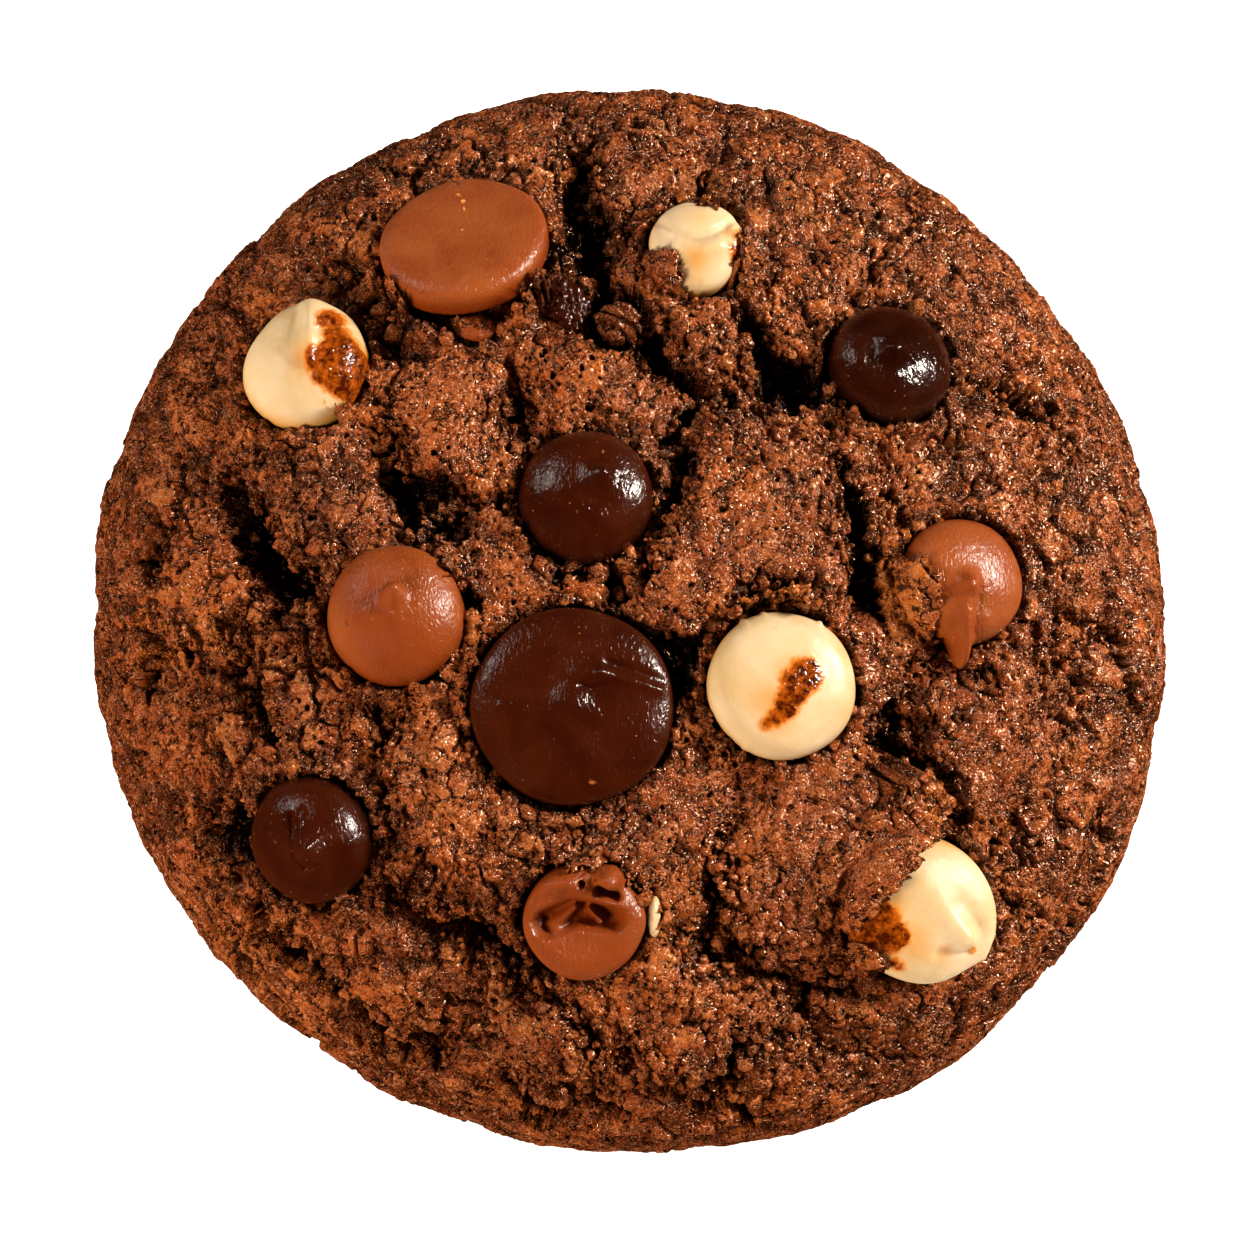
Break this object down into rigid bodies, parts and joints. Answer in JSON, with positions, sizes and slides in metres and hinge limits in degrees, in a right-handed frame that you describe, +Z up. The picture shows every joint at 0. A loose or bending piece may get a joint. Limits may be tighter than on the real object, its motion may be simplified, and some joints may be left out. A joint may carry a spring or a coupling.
{
  "type": "triple chocolate cookie",
  "caption": "Round domed chocolate cookie with a cracked crust, set with dark, milk and white chocolate chips and discs, on a flat base.",
  "frame": {"origin": "centre of the flat base, on the surface the cookie rests on", "axes": "+Z up through the dome; -Y is the side nearest the viewer, +X to the viewer's right"},
  "size_m": [0.0792, 0.0795, 0.0303],
  "materials": {
    "dough": "baked cocoa dough, matt and crumbly",
    "milk_chocolate": "milk chocolate, satin",
    "dark_chocolate": "dark chocolate, softly glossy",
    "white_chocolate": "white chocolate, satin"
  },
  "bodies": {
    "root": {"dough": "dough", "milk_disc": "milk_chocolate", "milk_bit": "milk_chocolate", "milk_chip_left": "milk_chocolate", "milk_chip_right": "milk_chocolate", "milk_chip_melted": "milk_chocolate", "white_chip_left": "white_chocolate", "white_chip_top": "white_chocolate", "white_chip_middle": "white_chocolate", "white_chip_low_right": "white_chocolate", "white_bit": "white_chocolate", "dark_disc": "dark_chocolate", "dark_chip_right": "dark_chocolate", "dark_chip_middle": "dark_chocolate", "dark_chip_low_left": "dark_chocolate", "dark_chunk_top": "dark_chocolate"}
  },
  "joints": []
}
